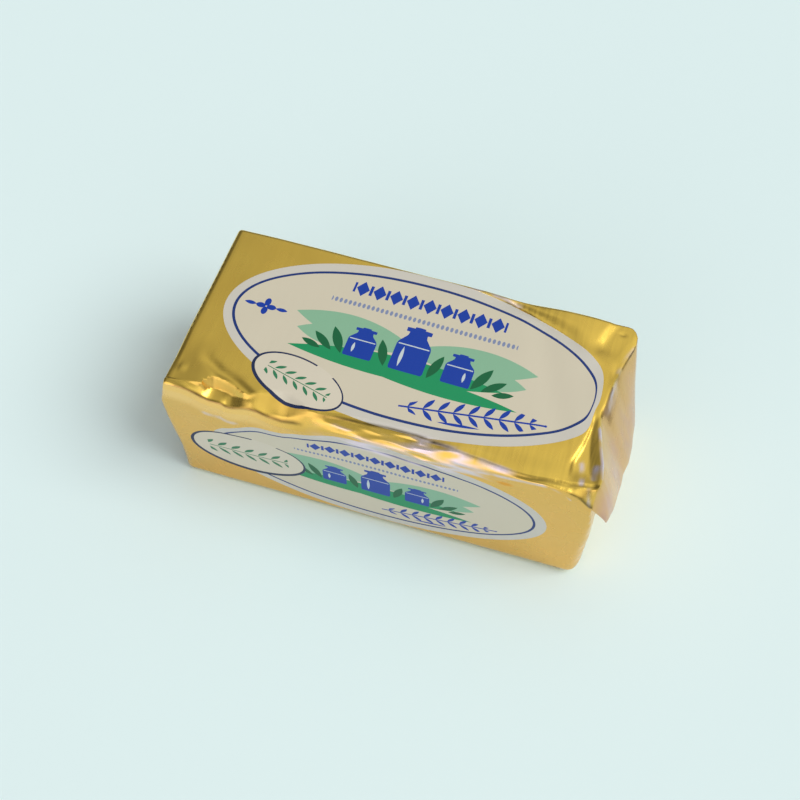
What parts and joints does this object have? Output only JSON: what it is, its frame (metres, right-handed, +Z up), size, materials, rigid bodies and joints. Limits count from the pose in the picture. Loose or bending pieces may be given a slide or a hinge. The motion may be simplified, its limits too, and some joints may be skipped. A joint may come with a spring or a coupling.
{
  "type": "foil-wrapped butter block",
  "caption": "Brick of butter in gold foil with plain oval labels, envelope-folded ends, a pressed corner and one end flap hanging loose.",
  "frame": {"origin": "middle of the bounding box at the base, on the surface the block rests on", "axes": "+X along the block towards the end with the loose flap, +Y from the labelled long side to the back, +Z up from the base"},
  "size_m": [0.123, 0.055, 0.0448],
  "materials": {
    "gold_foil": "gold-lacquered aluminium foil with opaque printed labels"
  },
  "bodies": {
    "root": {"wrapped_block": "gold_foil"}
  },
  "joints": []
}
